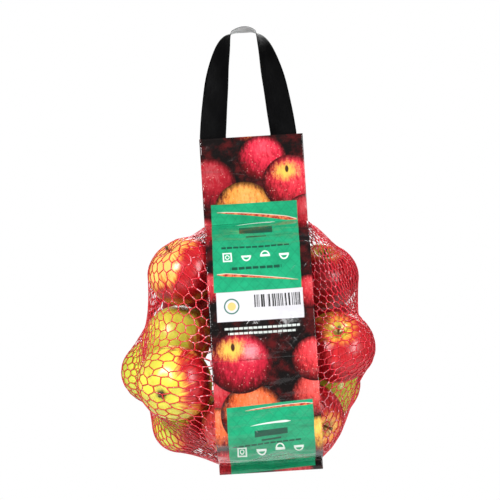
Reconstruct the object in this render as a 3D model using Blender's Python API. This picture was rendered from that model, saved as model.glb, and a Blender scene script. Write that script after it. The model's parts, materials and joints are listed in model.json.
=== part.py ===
"""A net bag of apples, hanging by its carrying strap.

The frame is in metres, +Z up, with the label side facing -Y. The origin is the middle of the strap's
underside at the top of its loop, where a hook or a hand carries the bag.
"""

import math

import bpy
import numpy as np
from mathutils import Matrix, Vector

# Carrying strap
STRAP_WIDTH = 0.024
STRAP_THICKNESS = 0.0008
LOOP_HEIGHT = 0.0955  # strap's underside at the top of the loop, down to the header's top edge
LEFT_LEG = 0.0346  # from the middle of the loop out to the middle of each leg, at the header
RIGHT_LEG = 0.0298
CROWN_LEFT = 0.005  # the level stretch at the top of the loop, each side of the middle
CROWN_RIGHT = 0.003
LOOP_SQUARENESS = 3.0  # power of the arch: 2 is a parabola, more has straighter legs
TWIST_ENDS = 0.33  # share of a leg's spread within which the strap lies flat across the hook
TWIST_EASE = 0.75
TAB_LENGTH = 0.030  # strap inside the header

# Printed film bands
FILM_WIDTH = 0.0945
FILM_THICKNESS = 0.0004
HEADER_HEIGHT = 0.079  # header's top edge to the neck, where the net comes out
FIN_HEIGHT = 0.009  # film below the lower seal

# Net
NET_WALL = 0.0007
NET_SLIT = 0.0004  # free space inside the flattened net, where the seals grip it
NET_WIDTH = 0.091  # the net's width in the seals
NET_HEM = 0.016  # net gripped inside the header
NET_LIP = 0.002  # the sleeve's ends sit this far inside the ends of the film over it
NET_AROUND = 44  # facets round the net
NET_DOWN = 25  # facets from the neck to the lower seal
NET_SWELL = 0.6  # how soon the net opens out below the neck: less is sooner
NET_RELAX = 500  # rounds of tightening
NET_HANG = 0.7  # share of the pull that runs down the net, because the strands carry the weight
NET_CLEAR = 0.0005  # least space between an apple and the net
NET_CLEAR_ROUNDS = 30

# Apples
APPLE_WIDTH = 0.0675  # mean
APPLE_HEIGHT = 0.90  # of the width, over the shoulders
STEM_HOLLOW = (0.27, 0.25)  # depth and spread of the hollow round the stem, of half the width
EYE_HOLLOW = (0.15, 0.24)  # the same at the blossom end
SHOULDER = 0.09  # how much wider an apple is on its stem side
STEM_RADIUS = 0.0013
STEM_INSET = 0.002  # the tip stays this far inside the apple's furthest reach, clear of the net
APPLE_AROUND = 18
APPLE_RINGS = (0, 6, 15, 26, 42, 62, 82, 102, 122, 142, 159, 172, 180)  # degrees from the stem

# Clearances
TOUCH_GAP = 0.0003  # between pieces that rest on each other
APPLE_GAP = 0.0006  # between two apples
HINGE_GAP = 0.0025  # bare film each side of a fold line
STRAP_FOLD_GAP = 0.0020  # bare strap each side of the fold at the header's top edge
SEAL_DROP = 0.006  # lowest apple to the lower seal

# Each apple: its middle across, in depth, and below the neck, in apple widths; its size as a share of
# the mean width; and the way its stem points.
APPLES = [
    ((-1.01, -0.31, -0.66), 0.98, (-0.50, -0.30, 0.81)),  # upper left
    ((-1.15, 0.03, -1.49), 0.97, (-0.50, 0.60, 0.62)),  # left, in the middle layer
    ((-1.47, 0.84, -1.94), 0.97, (-0.35, 0.62, 0.70)),  # far left, behind
    ((-1.22, -0.80, -2.07), 1.03, (0.41, 0.86, 0.29)),  # left, in front
    ((-1.12, 0.05, -2.60), 0.93, (0.30, 0.30, -0.90)),  # lower left
    ((-0.64, 0.86, -2.68), 0.93, (-0.20, 0.80, -0.56)),  # lower left, behind
    ((0.83, 0.42, -0.81), 1.02, (0.18, -0.46, 0.87)),  # upper right
    ((0.98, -0.32, -1.75), 1.02, (0.06, -0.78, 0.62)),  # right, in front
    ((0.80, 0.52, -2.28), 0.97, (0.66, 0.40, -0.64)),  # lower right, behind
    ((0.54, -0.35, -2.66), 0.97, (0.64, -0.69, -0.33)),  # lower right, in front
    ((-0.05, -0.01, -0.61), 0.97, (0.10, -0.30, 0.95)),  # top
    ((-0.04, -0.57, -1.42), 0.98, (-0.50, -0.80, 0.30)),  # middle, in front
    ((-0.13, 0.21, -2.19), 0.97, (-0.30, 0.80, 0.52)),  # core of the bag
    ((-0.04, 0.68, -1.36), 0.99, (0.20, 0.95, 0.20)),  # middle, behind
    ((-0.41, -0.61, -2.66), 0.97, (-0.30, -0.50, -0.81)),  # bottom, in front
    ((-0.89, 1.02, -1.07), 0.92, (-0.40, 0.70, 0.59)),  # upper left, behind
    ((0.84, 1.15, -1.47), 0.93, (0.35, 0.80, 0.49)),  # right, behind
]

HEADER_TOP = -LOOP_HEIGHT
NECK = HEADER_TOP - HEADER_HEIGHT
NET_HALF_STACK = NET_SLIT / 2 + NET_WALL
FILM_INNER = max(NET_HALF_STACK, STRAP_THICKNESS / 2) + TOUCH_GAP
HALF_FILM = FILM_WIDTH / 2


def clear_scene():
    for obj in list(bpy.data.objects):
        bpy.data.objects.remove(obj, do_unlink=True)


def material(name, colour, roughness):
    made = bpy.data.materials.new(name)
    made.use_nodes = True
    shader = made.node_tree.nodes["Principled BSDF"]
    shader.inputs["Base Color"].default_value = (*colour, 1)
    shader.inputs["Roughness"].default_value = roughness
    return made


def add_object(name, points, faces, skin):
    mesh = bpy.data.meshes.new(name)
    mesh.from_pydata([tuple(p) for p in points], [], faces)
    mesh.materials.append(skin)
    obj = bpy.data.objects.new(name, mesh)
    bpy.context.scene.collection.objects.link(obj)
    return obj


def grid_faces(rows, columns, around):
    """Quads of a grid of points stored row by row. around closes each row on itself."""
    spans = columns if around else columns - 1
    return [
        (
            r * columns + c,
            (r + 1) * columns + c,
            (r + 1) * columns + (c + 1) % columns,
            r * columns + (c + 1) % columns,
        )
        for r in range(rows - 1)
        for c in range(spans)
    ]


def add_sheet(name, rows, thickness, side, skin, around=False, smooth=True):
    """A sheet through rows of points, thickened by Solidify. side: 1 outwards, 0 about the points."""
    points = [p for row in rows for p in row]
    faces = grid_faces(len(rows), len(rows[0]), around)
    obj = add_object(name, points, faces, skin)
    solid = obj.modifiers.new("thickness", "SOLIDIFY")
    solid.thickness = thickness
    solid.offset = side
    if smooth:
        obj.data.shade_smooth()
    return obj


# --- strap -------------------------------------------------------------------------------------------


def strap_section(share):
    """Where the strap's two edges are. share runs from -1 at the left leg's foot to 1 at the right's."""
    reach, level = (LEFT_LEG, CROWN_LEFT) if share < 0 else (RIGHT_LEG, CROWN_RIGHT)
    sign = -1 if share < 0 else 1
    spread = abs(share)
    level_share = level / reach
    middle = STRAP_THICKNESS / 2
    foot = HEADER_TOP + STRAP_FOLD_GAP
    fall = max(0.0, (spread - level_share) / (1 - level_share))
    centre = Vector((sign * reach * spread, 0, middle + (foot - middle) * fall**LOOP_SQUARENESS))
    slope = (foot - middle) * LOOP_SQUARENESS * fall ** (LOOP_SQUARENESS - 1) / (reach * (1 - level_share))
    tangent = Vector((1, 0, sign * slope)).normalized()
    turned = max(0.0, (spread - TWIST_ENDS) / (1 - TWIST_ENDS))
    twist = math.pi / 2 * (1 - turned) ** TWIST_EASE
    inwards_high = Vector((-tangent.z, 0, tangent.x)) * -1
    inwards_low = Vector((-sign, 0, 0))
    in_plane = inwards_high.lerp(inwards_low, turned**4).normalized()
    half = (in_plane * math.cos(twist) - Vector((0, 1, 0)) * math.sin(twist)) * STRAP_WIDTH / 2
    return centre - half, centre + half


def build_strap(skin):
    left_level, right_level = CROWN_LEFT / LEFT_LEG, CROWN_RIGHT / RIGHT_LEG
    steps = 16

    def leg(level):
        return [level + (1 - level) * (1 - math.cos(math.pi / 2 * i / steps)) for i in range(steps + 1)]

    shares = [-s for s in reversed(leg(left_level))] + leg(right_level)
    rows = [strap_section(s) for s in shares]
    add_sheet("handle_strap", rows, STRAP_THICKNESS, 0, skin)
    top = HEADER_TOP - STRAP_FOLD_GAP
    for name, middle in (("strap_tab_left", -LEFT_LEG), ("strap_tab_right", RIGHT_LEG)):
        edges = (middle - STRAP_WIDTH / 2, middle + STRAP_WIDTH / 2)
        rows = [[Vector((x, 0, z)) for x in edges] for z in (top, top - TAB_LENGTH)]
        add_sheet(name, rows, STRAP_THICKNESS, 0, skin, smooth=False)


# --- apples ------------------------------------------------------------------------------------------


def apple_profile(width):
    """(distance from the core, height) from the stem end to the blossom end of an apple this wide."""
    half = width / 2
    height = half * APPLE_HEIGHT
    profile = []
    for turn in map(math.radians, APPLE_RINGS):
        out = half * math.sin(turn) * (1 + SHOULDER * math.cos(turn)) / (1 + SHOULDER**2)
        depth, spread = STEM_HOLLOW if math.cos(turn) > 0 else EYE_HOLLOW
        hollow = depth * half * math.exp(-((out / (spread * half)) ** 2))
        profile.append((out, math.copysign(1, math.cos(turn)) * (height * abs(math.cos(turn)) - hollow)))
    return profile


def apple_reach(width):
    """The furthest that an apple reaches from its middle."""
    return max(math.hypot(out, up) for out, up in apple_profile(width))


def settled_apples():
    """(middle, width, stem direction) of each apple, once no two are nearer than APPLE_GAP."""
    target = np.array([place for place, _, _ in APPLES]) * APPLE_WIDTH
    widths = np.array([share for _, share, _ in APPLES]) * APPLE_WIDTH
    reach = np.array([apple_reach(w) for w in widths])
    apart = reach[:, None] + reach[None, :] + APPLE_GAP
    at = target.copy()
    for settle_pull in [0.04] * 400 + [0.0] * 800:
        away = at[:, None, :] - at[None, :, :]
        far = np.linalg.norm(away, axis=2) + np.eye(len(at))
        short = np.clip(apart - far, 0, None)
        np.fill_diagonal(short, 0)
        push = (away / far[..., None] * short[..., None]).sum(axis=1)
        at = at + 0.45 * push + settle_pull * (target - at)
    weight = widths**3
    at[:, 1] -= (at[:, 1] * weight).sum() / weight.sum()
    at[:, 2] += NECK
    return [
        (Vector(p), float(w), Vector(way).normalized())
        for p, w, (_, _, way) in zip(at, widths, APPLES, strict=True)
    ]


def add_apple(number, middle, width, way, skin, stem_skin):
    profile = apple_profile(width)
    points = [Vector((0, 0, profile[0][1]))]
    for out, up in profile[1:-1]:
        for i in range(APPLE_AROUND):
            turn = 2 * math.pi * i / APPLE_AROUND
            points.append(Vector((out * math.cos(turn), out * math.sin(turn), up)))
    points.append(Vector((0, 0, profile[-1][1])))
    rings, last = len(profile) - 2, len(points) - 1
    faces = [
        tuple(1 + i for i in face) for face in grid_faces(rings, APPLE_AROUND, around=True)
    ]
    for i in range(APPLE_AROUND):
        after = (i + 1) % APPLE_AROUND
        faces.append((0, 1 + i, 1 + after))
        faces.append((last, last - APPLE_AROUND + after, last - APPLE_AROUND + i))
    apple = add_object(f"apple_{number:02d}", points, faces, skin)
    apple.data.shade_smooth()
    turned = Matrix.Translation(middle) @ way.to_track_quat("Z", "Y").to_matrix().to_4x4()
    apple.matrix_world = turned
    (_, floor), (out, up) = profile[:2]
    clear_floor = floor + (up - floor) * STEM_RADIUS / out
    add_stem(number, clear_floor, apple_reach(width), turned, stem_skin)


def add_stem(number, hollow_floor, reach, place, skin):
    """A short woody stalk, thicker at its tip, standing clear of the floor of its hollow."""
    bottom, top = hollow_floor + TOUCH_GAP, reach - STEM_INSET
    sides, rings = 8, 5
    points = []
    for r in range(rings):
        share = r / (rings - 1)
        radius = STEM_RADIUS * (0.8 + 0.5 * share**3)
        lean = STEM_RADIUS * share**2
        for i in range(sides):
            turn = 2 * math.pi * i / sides
            points.append(
                (lean + radius * math.cos(turn), radius * math.sin(turn), bottom + (top - bottom) * share)
            )
    faces = [tuple(reversed(face)) for face in grid_faces(rings, sides, around=True)]
    faces.append(tuple(reversed(range(sides))))
    faces.append(tuple((rings - 1) * sides + i for i in range(sides)))
    stem = add_object(f"stem_{number:02d}", points, faces, skin)
    stem.matrix_world = place


# --- net ---------------------------------------------------------------------------------------------


def net_grid(apples, seal):
    """Points of the net's inner surface, [down, around, xyz]: a tight skin over the apples.

    Each point keeps to its own line out from the middle of the bag. The skin starts at the apples and is
    drawn tight between the ones that stand out furthest.
    """
    middles = np.array([tuple(middle) for middle, _, _ in apples])
    reach = np.array([apple_reach(width) for _, width, _ in apples])
    low, high = (middles - reach[:, None]).min(0), (middles + reach[:, None]).max(0)
    turn = 2 * np.pi * np.arange(NET_AROUND) / NET_AROUND
    share = np.arange(NET_DOWN + 1)[:, None] / NET_DOWN
    swell = np.sin(np.pi * share) ** NET_SWELL
    slit = np.array([NET_WIDTH, NET_SLIT]) / 2
    core = (low + high) / 2 * np.array([0.5, 0, 1])
    top, bottom = NECK - HINGE_GAP - NET_LIP, seal + HINGE_GAP + NET_LIP
    grid = np.zeros((NET_DOWN + 1, NET_AROUND, 3))
    for axis, wave in enumerate((np.cos(turn), np.sin(turn))):
        grid[..., axis] = core[axis] * swell + (slit[axis] + (high - low)[axis] / 2 * swell) * wave
    grid[..., 2] = top + (bottom - top) * (1 - np.cos(np.pi * share)) / 2
    out = grid - core
    out /= np.linalg.norm(out, axis=2, keepdims=True)
    facet = math.pi * (high - low).max() / NET_AROUND
    hold = reach + TOUCH_GAP + facet**2 / (8 * reach)
    least = np.zeros(out.shape[:2])
    for offset, radius in zip(middles - core, hold, strict=True):
        along = out @ offset
        met = radius**2 - offset @ offset + along**2
        least = np.maximum(least, np.where(met > 0, along + np.sqrt(np.clip(met, 0, None)), 0))
    far = np.linalg.norm(grid - core, axis=2)
    far[1:-1] = np.maximum(far, least)[1:-1]
    for _ in range(NET_RELAX):
        grid = core + out * far[..., None]
        beside = (np.roll(grid, 1, axis=1) + np.roll(grid, -1, axis=1)) / 2
        pulled = NET_HANG * (grid[:-2] + grid[2:]) / 2 + (1 - NET_HANG) * beside[1:-1]
        drawn = ((pulled - core) * out[1:-1]).sum(axis=2)
        far[1:-1] = np.maximum(drawn, least[1:-1])
    grid = core + out * far[..., None]
    clear_facets(grid, middles, reach + NET_CLEAR)
    return grid


def clear_facets(grid, middles, reach):
    """Moves the net out until no facet, and not just no corner, is within reach of an apple's middle."""
    shares = (0, 0.33, 0.67)
    for _ in range(NET_CLEAR_ROUNDS):
        for down, around in [(d, a) for d in shares for a in shares]:
            corners = [(0, 0, (1 - down) * (1 - around)), (1, 0, down * (1 - around))]
            corners += [(0, 1, (1 - down) * around), (1, 1, down * around)]
            last = len(grid) - 1
            spots = sum(np.roll(grid[i : last + i], -j, axis=1) * w for i, j, w in corners)
            for middle, radius in zip(middles, reach, strict=True):
                away = spots - middle
                far = np.linalg.norm(away, axis=2, keepdims=True)
                push = away / far * np.clip(radius - far, 0, None)
                push /= sum(w * w for _, _, w in corners)
                for i, j, w in corners:
                    moved = np.roll(push, j, axis=1) * w
                    rows = slice(max(i, 1), min(last + i, last))
                    grid[rows] += moved[rows.start - i : rows.stop - i]


def build_net(apples, seal, skin):
    """Adds the sleeve and its two gripped hems, and returns the sleeve's edges, each as two points."""
    grid = net_grid(apples, seal)
    rows = [[Vector(p) for p in row] for row in grid]
    sleeve = add_sheet("net_sleeve", rows, NET_WALL, 1, skin, around=True)
    for name, top, height in (
        ("net_top_hem", NECK + HINGE_GAP + NET_HEM, NET_HEM),
        ("net_bottom_hem", seal - HINGE_GAP, FIN_HEIGHT - 2 * HINGE_GAP),
    ):
        rows = [
            [Vector((x, 0, z)) for x in (-NET_WIDTH / 2, NET_WIDTH / 2)] for z in (top, top - height)
        ]
        add_sheet(name, rows, 2 * NET_HALF_STACK, 0, skin, smooth=False)
    bpy.context.view_layer.update()
    evaluated = sleeve.evaluated_get(bpy.context.evaluated_depsgraph_get()).data
    evaluated.calc_loop_triangles()
    spots = np.array([tuple(v.co) for v in evaluated.vertices])
    corners = spots[[tuple(t.vertices) for t in evaluated.loop_triangles]]
    return np.stack([corners, np.roll(corners, -1, axis=1)], axis=2).reshape(-1, 2, 3)


# --- film --------------------------------------------------------------------------------------------


def under_film(edges):
    """The net's edges cut off at the film's two long edges, as points."""
    start, end = edges[:, 0], edges[:, 1]
    rise = end[:, 0] - start[:, 0]
    rise = np.where(np.abs(rise) < 1e-9, 1e-9, rise)
    cuts = np.sort(np.stack([(side * HALF_FILM - start[:, 0]) / rise for side in (-1, 1)]), axis=0)
    first, last = np.clip(cuts[0], 0, 1), np.clip(cuts[1], 0, 1)
    kept = last > first
    spots = [start + (end - start) * share[:, None] for share in (first, last)]
    return np.concatenate([s[kept] for s in spots])


def taut_profile(edges, seal, side):
    """(depth, height) down one face of the bag, as a film pulled taut over the net from neck to seal."""
    near = under_film(edges)
    turn = 2 * np.pi * np.arange(12) / 12
    around = TOUCH_GAP * 1.2 * np.stack([np.cos(turn), np.sin(turn)], axis=1)
    spots = (np.stack([side * near[:, 1], near[:, 2]], axis=1)[:, None] + around).reshape(-1, 2)
    ends = [(FILM_INNER, NECK - HINGE_GAP), (FILM_INNER, seal + HINGE_GAP)]
    spots = spots[(spots[:, 1] < ends[0][1]) & (spots[:, 1] > ends[1][1])]
    hull = []
    for spot in sorted([*map(tuple, spots), *ends], key=lambda s: (-s[1], s[0])):
        while len(hull) > 1 and turns_in(hull[-2], hull[-1], spot):
            hull.pop()
        hull.append(spot)
    return [(side * depth, height) for depth, height in hull]


def turns_in(a, b, c):
    """Whether b lies on the inner side of the line from a down to c."""
    return (b[0] - a[0]) * (c[1] - a[1]) - (b[1] - a[1]) * (c[0] - a[0]) >= 0


def add_film(name, profile, side, skin):
    edges = (-HALF_FILM, HALF_FILM) if side < 0 else (HALF_FILM, -HALF_FILM)
    rows = [[Vector((x, depth, height)) for x in edges] for depth, height in profile]
    return add_sheet(name, rows, FILM_THICKNESS, 1, skin)


def build_films(net_edges, seal, front_skin, back_skin):
    for label, side, skin in (("front", -1, front_skin), ("back", 1, back_skin)):
        flat = side * FILM_INNER
        add_film(f"{label}_film_header", [(flat, HEADER_TOP), (flat, NECK + HINGE_GAP)], side, skin)
        add_film(f"{label}_film_band", taut_profile(net_edges, seal, side), side, skin)
        add_film(f"{label}_film_fin", [(flat, seal - HINGE_GAP), (flat, seal - FIN_HEIGHT)], side, skin)


def main():
    clear_scene()
    black = material("strap_black", (0.012, 0.012, 0.013), 0.35)
    film_front = material("film_print_front", (0.30, 0.04, 0.03), 0.3)
    film_back = material("film_print_back", (0.30, 0.04, 0.03), 0.3)
    red_net = material("net_red", (0.70, 0.03, 0.08), 0.35)
    red_skin = material("apple_red", (0.62, 0.04, 0.05), 0.35)
    green_skin = material("apple_yellow_green", (0.62, 0.55, 0.08), 0.35)
    stalk = material("stem_brown", (0.16, 0.09, 0.03), 0.7)

    build_strap(black)
    apples = settled_apples()
    for number, (middle, width, way) in enumerate(apples, start=1):
        skin = green_skin if number in (2, 3, 4, 5, 9) else red_skin
        add_apple(number, middle, width, way, skin, stalk)
    seal = min(middle.z - apple_reach(width) for middle, width, _ in apples) - SEAL_DROP
    net_edges = build_net(apples, seal, red_net)
    build_films(net_edges, seal, film_front, film_back)


main()
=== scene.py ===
"""Looks of a net bag of apples that hangs by its carrying strap."""

import json
import math

import bpy
import numpy as np
from mathutils import Matrix, Vector
from mathutils.bvhtree import BVHTree


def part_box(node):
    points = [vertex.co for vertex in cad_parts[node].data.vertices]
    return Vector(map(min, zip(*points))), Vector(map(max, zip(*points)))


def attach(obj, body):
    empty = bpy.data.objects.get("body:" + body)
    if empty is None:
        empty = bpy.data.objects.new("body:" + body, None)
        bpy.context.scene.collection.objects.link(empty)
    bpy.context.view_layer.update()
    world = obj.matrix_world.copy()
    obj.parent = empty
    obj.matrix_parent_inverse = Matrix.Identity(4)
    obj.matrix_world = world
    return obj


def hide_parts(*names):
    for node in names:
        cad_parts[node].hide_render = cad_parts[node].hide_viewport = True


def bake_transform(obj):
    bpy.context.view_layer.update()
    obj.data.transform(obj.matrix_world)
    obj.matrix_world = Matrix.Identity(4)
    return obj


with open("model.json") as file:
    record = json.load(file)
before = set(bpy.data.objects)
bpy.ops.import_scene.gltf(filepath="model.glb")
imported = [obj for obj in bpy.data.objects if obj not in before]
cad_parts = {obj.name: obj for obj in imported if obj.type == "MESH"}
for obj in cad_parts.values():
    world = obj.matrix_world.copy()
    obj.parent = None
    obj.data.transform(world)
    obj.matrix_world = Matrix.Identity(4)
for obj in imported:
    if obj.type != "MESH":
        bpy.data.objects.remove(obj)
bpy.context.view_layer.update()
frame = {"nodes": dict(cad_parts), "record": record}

JOINTS = {j["name"]: j for j in frame["record"]["behaviour"]["joints"]}
HEADER_TOP = JOINTS["strap_fold"]["pos_m"][2]
NECK = JOINTS["neck_fold"]["pos_m"][2]
SEAL = JOINTS["seal_fold"]["pos_m"][2]
FIN_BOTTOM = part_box("front_film_fin")[0].z
HALF_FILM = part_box("front_film_header")[1].x
MM = 0.001


# --- small helpers ---


def smooth(low, high, x):
    """0 at low and 1 at high, with a smooth turn between."""
    t = np.clip((x - low) / (high - low), 0, 1)
    return t * t * (3 - 2 * t)


def waves(points, scale, seed, turns=5):
    """Gentle noise from -1 to 1 at points [..., n], the same on every run. scale is per axis, in 1/m."""
    draw = np.random.default_rng(seed)
    total = np.zeros(points.shape[:-1])
    for i in range(turns):
        way = draw.normal(size=points.shape[-1]) * scale * (1 + 0.45 * i)
        total += np.sin(points @ way + draw.uniform(0, 2 * math.pi)) / (1 + 0.5 * i)
    return total / 2.2


def unit(v):
    return v / np.maximum(np.linalg.norm(v, axis=-1, keepdims=True), 1e-12)


def even_turn(count):
    return 2 * math.pi * np.arange(count) / count


def lighter(colour, times, plus=0.0):
    return tuple(min(1.0, c * times + plus) for c in colour)


def add_object(name, data):
    obj = bpy.data.objects.new(name, data)
    bpy.context.scene.collection.objects.link(obj)
    return obj


def new_mesh(name, points, faces, materials):
    mesh = bpy.data.meshes.new(name)
    mesh.from_pydata([tuple(p) for p in points], [], faces)
    for m in materials:
        mesh.materials.append(m)
    mesh.shade_smooth()
    mesh.update()
    return add_object(name, mesh)


def grid_faces(rows, columns, around=False):
    """Quads over a grid of points. around joins the last column to the first."""
    spans = columns if around else columns - 1
    r, c = np.meshgrid(np.arange(rows - 1), np.arange(spans), indexing="ij")
    after = (c + 1) % columns
    quads = [r * columns + c, (r + 1) * columns + c, (r + 1) * columns + after, r * columns + after]
    return np.stack(quads, axis=-1).reshape(-1, 4)


def put_vectors(obj, name, values):
    made = obj.data.attributes.new(name, "FLOAT_VECTOR", "POINT")
    made.data.foreach_set("vector", np.asarray(values, np.float32).ravel())


def thicken(obj, thickness, offset, other_side=0):
    """Gives a sheet its thickness. other_side is the step to its second face's material."""
    solid = obj.modifiers.new("thickness", "SOLIDIFY")
    solid.thickness = thickness
    solid.offset = offset
    solid.material_offset = other_side
    solid.material_offset_rim = other_side
    bpy.context.view_layer.update()
    evaluated = obj.evaluated_get(bpy.context.evaluated_depsgraph_get())
    mesh = bpy.data.meshes.new_from_object(evaluated)
    obj.modifiers.clear()
    obj.data = mesh


# --- node materials ---


class Shader:
    """A short way to write node materials. Values are sockets or plain numbers."""

    def __init__(self, name):
        self.material = bpy.data.materials.new(name)
        self.material.use_nodes = True
        self.nodes = self.material.node_tree.nodes
        self.links = self.material.node_tree.links
        self.surface = self.nodes["Principled BSDF"]

    def put(self, socket, value):
        if isinstance(value, bpy.types.NodeSocket):
            self.links.new(value, socket)
        elif isinstance(value, (tuple, list)) and len(value) == 3 and len(socket.default_value) == 4:
            socket.default_value = (*value, 1)
        else:
            socket.default_value = value

    def fill(self, kind, **values):
        """The outputs of a new node, after its inputs are filled by name."""
        node = self.nodes.new("ShaderNode" + kind)
        for name, value in values.items():
            self.put(node.inputs[name], value)
        return node.outputs

    def finish(self, **values):
        for name, value in values.items():
            self.put(self.surface.inputs[name.replace("_", " ")], value)
        return self.material

    def math(self, kind, a, b=0.0):
        node = self.nodes.new("ShaderNodeMath")
        node.operation = kind
        self.put(node.inputs[0], a)
        self.put(node.inputs[1], b)
        return node.outputs[0]

    def add(self, a, b):
        return self.math("ADD", a, b)

    def sub(self, a, b):
        return self.math("SUBTRACT", a, b)

    def mul(self, a, b):
        return self.math("MULTIPLY", a, b)

    def size(self, a):
        return self.math("ABSOLUTE", a)

    def most(self, a, b):
        return self.math("MAXIMUM", a, b)

    def least(self, a, b):
        return self.math("MINIMUM", a, b)

    def vector(self, kind, a, b=(0, 0, 0)):
        node = self.nodes.new("ShaderNodeVectorMath")
        node.operation = kind
        self.put(node.inputs[0], a)
        self.put(node.inputs[1], b)
        return node.outputs["Value" if kind in ("LENGTH", "DOT_PRODUCT", "DISTANCE") else "Vector"]

    def step(self, value, low, high, to_low=0.0, to_high=1.0):
        """to_low below low and to_high above high, with a smooth turn between."""
        node = self.nodes.new("ShaderNodeMapRange")
        node.interpolation_type = "SMOOTHSTEP"
        for socket, number in zip(node.inputs, (value, low, high, to_low, to_high), strict=False):
            self.put(socket, number)
        return node.outputs[0]

    def mix(self, share, a, b):
        node = self.nodes.new("ShaderNodeMix")
        node.data_type = "RGBA"
        self.put(node.inputs[0], share)
        self.put(node.inputs[6], a)
        self.put(node.inputs[7], b)
        return node.outputs[2]

    def noise(self, at, scale, detail=3.0, rough=0.55):
        return self.fill("TexNoise", Vector=at, Scale=scale, Detail=detail, Roughness=rough)[0]

    def cells(self, at, scale):
        return self.fill("TexVoronoi", Vector=at, Scale=scale)["Distance"]

    def split(self, vector):
        return self.fill("SeparateXYZ", Vector=vector)

    def stored(self, name):
        node = self.nodes.new("ShaderNodeAttribute")
        node.attribute_name = name
        return node.outputs["Vector"]

    def bump(self, height, distance, strength=1.0):
        return self.fill("Bump", Height=height, Distance=distance, Strength=strength)[0]


# --- apples ---

APPLE_COUNT = 17
APPLE_SIDES = 52
# As the CAD makes them, in half widths
STEM_HOLLOW = (0.27, 0.25)  # depth, spread
EYE_HOLLOW = (0.15, 0.24)
APPLE_TALL = 0.9  # from the middle to the top, before the hollow
SHOULDER = 0.09  # how much wider the upper half is
RIBS, RIB_DIP = 5, 0.012
RIM_AT, RIM_WIDE = 0.42, 0.22  # the ring on which the five lobes stand
TOP_LOBES, EYE_LOBES = 0.012, -0.045
OVAL = 0.014  # how far an apple is from round
STALK_TIP = 0.93
LEAF_STEPS = 6  # along a sepal


def node_points(name):
    points = np.array([v.co for v in frame["nodes"][name].data.vertices])
    return np.unique(points.round(6), axis=0)


def apple_place(number):
    """(middle, stem direction, half width) of a CAD apple, from the floors of its two hollows."""
    points = node_points(f"apple_{number:02d}")
    stem = node_points(f"stem_{number:02d}")
    near = np.linalg.norm(points[:, None] - stem[None], axis=2).min(axis=1)
    top = points[near.argmin()]
    way = unit(points.mean(axis=0) - top)
    along = (points - top) @ way
    aside = np.linalg.norm(points - top - along[:, None] * way, axis=1)
    beyond = along > along.max() * 0.5
    bottom = points[beyond][aside[beyond].argmin()]
    above, below = APPLE_TALL - STEM_HOLLOW[0], APPLE_TALL - EYE_HOLLOW[0]
    half = np.linalg.norm(top - bottom) / (above + below)
    return (top * below + bottom * above) / (above + below), unit(top - bottom), half


def apple_surface(turn, around, half, seed):
    """Points of an apple's skin about its own middle, with the stem along +Z."""
    draw = np.random.default_rng(seed)
    phase, lean = draw.uniform(0, 2 * math.pi, 2)
    ribs = np.cos(RIBS * around + phase)
    out = half * np.sin(turn) * (1 + SHOULDER * np.cos(turn)) / (1 + SHOULDER**2)
    upper = np.cos(turn) > 0
    depth = np.where(upper, STEM_HOLLOW[0], EYE_HOLLOW[0])
    spread = np.where(upper, STEM_HOLLOW[1], EYE_HOLLOW[1]) * half
    hollow = depth * half * np.exp(-((out / spread) ** 2))
    up = np.where(upper, 1, -1) * (half * APPLE_TALL * np.abs(np.cos(turn)) - hollow)
    rim = np.exp(-(((out - RIM_AT * half) / (RIM_WIDE * half)) ** 2))
    up = up - np.where(upper, TOP_LOBES, EYE_LOBES) * half * rim * (1 - ribs) / 2
    round_off = 1 - RIB_DIP * (1 - ribs) / 2 - OVAL * (1 - np.cos(2 * around + lean)) / 2
    return np.stack([out * round_off * np.cos(around), out * round_off * np.sin(around), up], axis=-1)


GREEN = (0.64, 0.6, 0.055)
GOLD = (0.86, 0.52, 0.12)
LIME = (0.54, 0.6, 0.045)
DEEP = (0.5, 0.008, 0.018)
RED = (0.62, 0.012, 0.02)
ROSE = (0.7, 0.05, 0.05)
# Ground colour, blush colour, where the blush faces (world), how far it reaches (-1 all over, 1 none)
SKINS = [
    (GOLD, RED, (0.8, -0.25, -0.45), -0.22),
    (GREEN, RED, (0.92, -0.1, -0.35), 0.5),
    (LIME, ROSE, (0.6, 0.75, 0.1), 0.55),
    (GREEN, RED, (0.93, -0.12, 0.14), 0.3),
    (LIME, RED, (0.8, -0.3, -0.45), 0.3),
    (GOLD, RED, (-0.2, 0.8, -0.3), -0.35),
    (GREEN, DEEP, (0.25, -0.7, -0.55), -0.6),
    (GREEN, RED, (0.3, -0.6, -0.65), -0.75),
    (LIME, ROSE, (-0.6, 0.5, 0.4), 0.35),
    (GOLD, RED, (0.55, -0.7, -0.2), -0.65),
    (GREEN, RED, (0.2, 0.6, -0.4), -0.5),
    (GOLD, RED, (0.1, -0.9, 0.1), -0.6),
    (GREEN, RED, (0.4, 0.6, 0.1), -0.2),
    (GREEN, DEEP, (0.3, 0.8, -0.3), -0.45),
    (GOLD, ROSE, (-0.6, -0.6, -0.2), -0.45),
    (GREEN, DEEP, (0.1, -0.6, -0.5), -0.8),
    (GREEN, DEEP, (-0.3, -0.7, -0.3), -0.85),
]


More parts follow.
